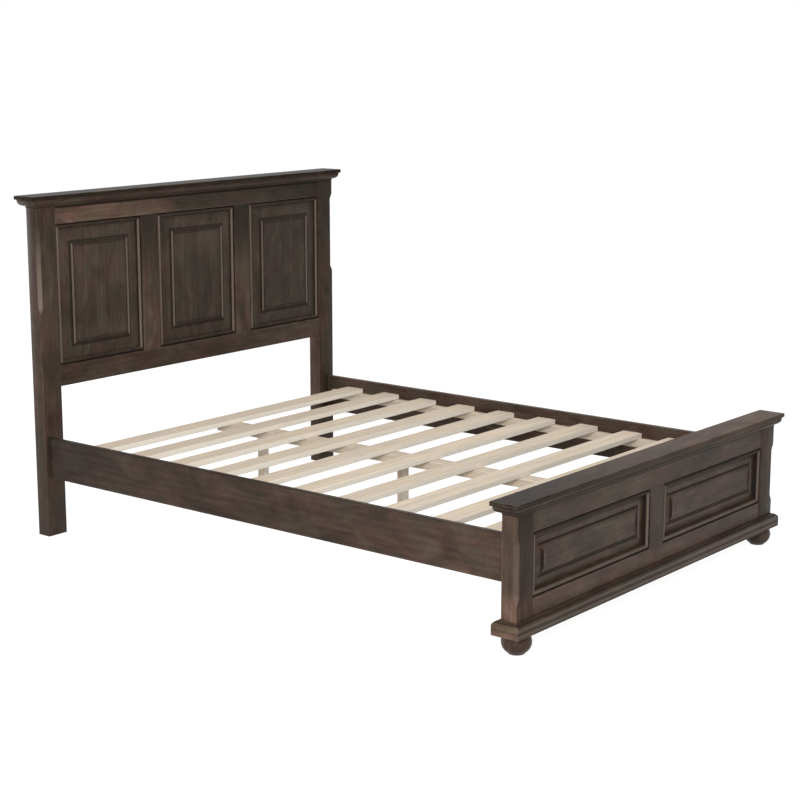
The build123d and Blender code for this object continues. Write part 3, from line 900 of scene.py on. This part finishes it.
def ruled(tree, where, opening):
    middle, half = openings[opening]
    ruler = place_group(tree, panel_lines)
    feed(tree, ruler, Place=where, Middle=middle, Half=half)
    return ruler.outputs


def inset_line(tree, marks, at, half_width, *shares):
    """A line at that distance in from the opening, weakened by masks or numbers."""
    return share_of(tree, line_at(tree, marks["Inset"], at, half_width), *shares)


def head_panel_painted_shade(tree, marks):
    # painted shade: lines in the crack and round the raised field
    dark = either(
        tree,
        inset_line(tree, marks, 0.022, 0.006, 0.75),
        inset_line(tree, marks, 0.0675, 0.005, 0.6),
        inset_line(tree, marks, 0.086, 0.004, 0.5),
    )
    return dark, 0.0


def foot_panel_shade_and_highlights(tree, marks):
    flat = unless(tree, marks["Upright"])
    left = unless(tree, marks["Right"])
    shelf = share_of(tree, flat, marks["Low"])
    right = share_of(tree, marks["Upright"], marks["Right"])
    # painted shade: the crack, the right-hand slopes that face away from the light, a band on the
    # left and the foot of the other slopes
    dark = either(
        tree,
        inset_line(tree, marks, 0.024, 0.009, unless(tree, either(tree, shelf, right)), 0.9),
        inset_line(tree, marks, 0.024, 0.005, shelf, 0.3),
        inset_line(tree, marks, 0.066, 0.016, right, 0.85),
        inset_line(tree, marks, 0.071, 0.011, marks["Upright"], left, 0.8),
        inset_line(tree, marks, 0.052, 0.005, flat, 0.8),
        inset_line(tree, marks, 0.061, 0.005, shelf, 0.8),
    )
    # painted highlights on the right-hand margin and along the left upright arris of the field
    painted_highlight_band = inset_line(tree, marks, 0.044, 0.011, right, 0.45)
    painted_highlight_edge = inset_line(tree, marks, 0.083, 0.005, left, marks["Upright"], 0.3)
    return dark, either(tree, painted_highlight_band, painted_highlight_edge)


panel_casts = {"head": (0.94, 1.04, 1.07, 1), "foot": (1, 1, 1, 1)}
panel_tones = {
    "head_left": [1.0],
    "head_middle": [0.9],
    "head_right": [0.85],
    "foot_left": [1.1],
    "foot_right": [1.22],
}
for opening in openings:
    board, side = opening.split("_")
    panel = parts[board + "_panel_" + side]
    runs = "z" if board == "head" else "x"
    finish, tree, where, coat = start_finish(
        opening + "_panel_stain", stain, runs, panel_tones[opening]
    )
    marks = ruled(tree, where, opening)
    dark, light = (head_panel_painted_shade if board == "head" else foot_panel_shade_and_highlights)(tree, marks)
    low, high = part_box(board + "_panel_" + side)
    on_front = sum_node(tree, "LESS_THAN", split(tree, where)["Y"], (low.y + high.y) / 2)
    # painted shade and painted highlights, on the panel's front only
    feed(tree, coat, Glaze=share_of(tree, on_front, dark), Rub=share_of(tree, on_front, light))
    end_finish(tree, coat, 0.0002, board_gloss, panel_casts[board])
    put_on(panel, finish)
print("panels finished:", list(openings))

# %% [markdown]
# ## Bead finish
# Painted shade darkens a bead's two flanks, its deep back and the cracks beside it, and a
# painted highlight runs along its crown on upright runs. A bead's run over a panel is painted
# dark, because it looks down. Its run under a panel is open to light: on the footboard's outer
# beads its crown gets a painted highlight, and on the headboard painted shade.

# %% Beads
def bead_finish(piece, opening, crown, cracks, top_dark, low_dark, low_light=0.0):
    """crown is where the bead's painted highlight line lies; cracks are the lines of painted shade
    beside it.
    """
    finish, tree, where, coat = start_finish(piece.name + "_stain", stain, "z", [1.05])
    marks = ruled(tree, where, opening)
    front = min(v.co.y for v in piece.data.vertices)
    deep = fade(tree, split(tree, where)["Y"], front + 0.003, front + 0.007)
    flat = unless(tree, marks["Upright"])
    shelf = share_of(tree, flat, marks["Low"])
    ceiling = sum_node(tree, "SUBTRACT", flat, shelf)
    # painted shade: the bead's deep back, its top run, its run under a panel and the cracks beside
    # it
    dark = either(
        tree,
        share_of(tree, deep, 0.85, unless(tree, shelf)),
        share_of(tree, ceiling, top_dark),
        share_of(tree, shelf, low_dark),
        *(inset_line(tree, marks, at, wide, 0.95) for at, wide in cracks),
    )
    # a painted highlight along the crown of upright runs, and of the run under a panel where
    # low_light is set
    at, wide, strength = crown
    lightened = either(tree, marks["Upright"], share_of(tree, shelf, low_light))
    feed(tree, coat, Glaze=dark, Rub=inset_line(tree, marks, at, wide, lightened, strength))
    end_finish(tree, coat, 0.0002, bead_gloss)
    put_on(piece, finish)


# where each bead's painted highlight lies, and the lines of painted shade beside it
outer_crown = (0.0125, 0.007, 0.55)
outer_cracks = ((0.001, 0.006), (0.021, 0.004))
field_crown = (0.077, 0.006, 0.5)
field_cracks = ((0.0705, 0.0025), (0.0835, 0.0025))
for opening in openings:
    board, side = opening.split("_")
    levels = (0.5, 0.5, 0.0) if board == "head" else (0.65, 0.0, 0.5)
    bead_finish(parts[board + "_bead_" + side], opening, outer_crown, outer_cracks, *levels)
for bead, opening in zip(field_beads, openings):
    bead_finish(bead, opening, field_crown, field_cracks, 0.65, 0.65)
print("beads finished:", len(openings) + len(field_beads))

# %% [markdown]
# ## Bare pine
# Slats, beam, legs and ledgers are planed pine with nothing on it: pale cream early wood with
# thin tan lines of late wood, and a faint grey or pink drift from one slat to the next. The same
# grain group serves, so that only the colours are new. Sawn edges are paler than planed faces.

# %% Pine
pine, given, result = new_group(
    "bare_pine",
    {"Place": "vector", "Heart": "vector", "Tone": "number", "Rub": "number"},
    {"Colour": "colour", "Roughness": "number", "Height": "number"},
)
wood = place_group(pine, grain)
feed(pine, wood, Place=given["Place"], Heart=given["Heart"])
mix = sum_node(pine, "MULTIPLY", wood.outputs["Fibres"], 0.35)
mix = sum_node(pine, "MULTIPLY_ADD", wood.outputs["Bands"], 0.65, mix)
ramp = ramp_colours(pine, mix, (0.25, 0.57, 0.47, 0.355), (0.65, 0.75, 0.645, 0.51))
cloud = fade(pine, wood.outputs["Clouds"], 0.35, 0.65)
drift = blend_colours(pine, "MIX", cloud, (0.94, 0.95, 0.97, 1), (1.03, 1.0, 0.97, 1))
tinted = blend_colours(pine, "MULTIPLY", 1.0, ramp, drift)
toned = scale_colour(pine, tinted, given["Tone"])
sawn_face = (0.90, 0.83, 0.72, 1)
lightened = blend_colours(pine, "MIX", given["Rub"], toned, sawn_face)
pine.links.new(lightened, result["Colour"])
dull = sum_node(pine, "MULTIPLY_ADD", wood.outputs["Fibres"], 0.15, 0.55)
pine.links.new(dull, result["Roughness"])
pine.links.new(wood.outputs["Fibres"], result["Height"])


def pine_board(piece, name, runs, tone):
    finish, tree, where, coat = start_finish(name + "_pine", pine, runs, [tone])
    facing = add_node(tree, "ShaderNodeNewGeometry")
    across = sum_node(tree, "ABSOLUTE", split(tree, facing.outputs["True Normal"])["Y"])
    sawn = share_of(tree, fade(tree, across, 0.8, 0.95), 0.85)
    feed(tree, coat, Rub=either(tree, sawn, edge_rub(tree, where, piece, 0.004, 0.35)))
    end_finish(tree, coat, 0.0003, 0.3)
    put_on(piece, finish)


for count, (name, part) in enumerate(sorted(parts.items())):
    if name.startswith("slat"):
        pine_board(part, name, "x", 0.97 + 0.03 * math.sin(count * 2.4))
    if name.startswith("centre_leg"):
        pine_board(part, name, "z", 0.9)
    if name.startswith(("centre_beam", "ledger")):
        pine_board(part, name, "y", 0.85)
print("boards in all:", board_count)

# %% [markdown]
# ## Small hardware
# Hooks and catches are zinc plated steel, and the glides under the feet are dark moulded
# plastic. Plating has a soft spangle of lighter and darker crystals, and moulded plastic has a
# fine pebbled skin. Both are patches under a fine bump, so one recipe makes the two.

# %% Metal and plastic
def hardware_finish(name, dark, light, metal, rough, grit, depth):
    finish = bpy.data.materials.new(name)
    finish.use_nodes = True
    tree = finish.node_tree
    shader = tree.nodes["Principled BSDF"]
    where = add_node(tree, "ShaderNodeTexCoord").outputs["Object"]
    broad = add_node(tree, "ShaderNodeTexNoise")
    feed(tree, broad, Vector=where, Scale=grit * 0.1, Detail=3.0)
    fine = add_node(tree, "ShaderNodeTexNoise")
    feed(tree, fine, Vector=where, Scale=grit, Detail=2.0)
    patches = fade(tree, broad.outputs[0], 0.35, 0.65)
    feed(tree, shader, Base_Color=blend_colours(tree, "MIX", patches, dark, light))
    feed(tree, shader, Metallic=metal)
    feed(tree, shader, Roughness=sum_node(tree, "MULTIPLY_ADD", broad.outputs[0], 0.2, rough))
    bump = add_node(tree, "ShaderNodeBump")
    feed(tree, bump, Height=fine.outputs[0], Distance=depth, Strength=0.5)
    tree.links.new(bump.outputs[0], shader.inputs["Normal"])
    return finish


plated = hardware_finish(
    "zinc_plate", (0.42, 0.43, 0.44, 1), (0.62, 0.62, 0.61, 1),
    metal=1.0, rough=0.28, grit=900, depth=0.00005,
)
moulded = hardware_finish(
    "dark_moulded_plastic", (0.012, 0.011, 0.010, 1), (0.035, 0.032, 0.030, 1),
    metal=0.0, rough=0.42, grit=1500, depth=0.0001,
)
for name in ("rail_hooks", "post_catches", "bun_studs"):
    put_on(parts[name], plated)
for name in ("bun_glides", "leg_glides"):
    put_on(parts[name], moulded)
bare = [name for name, part in parts.items() if not part.data.materials]
print("hardware finished; parts without a finish:", bare)
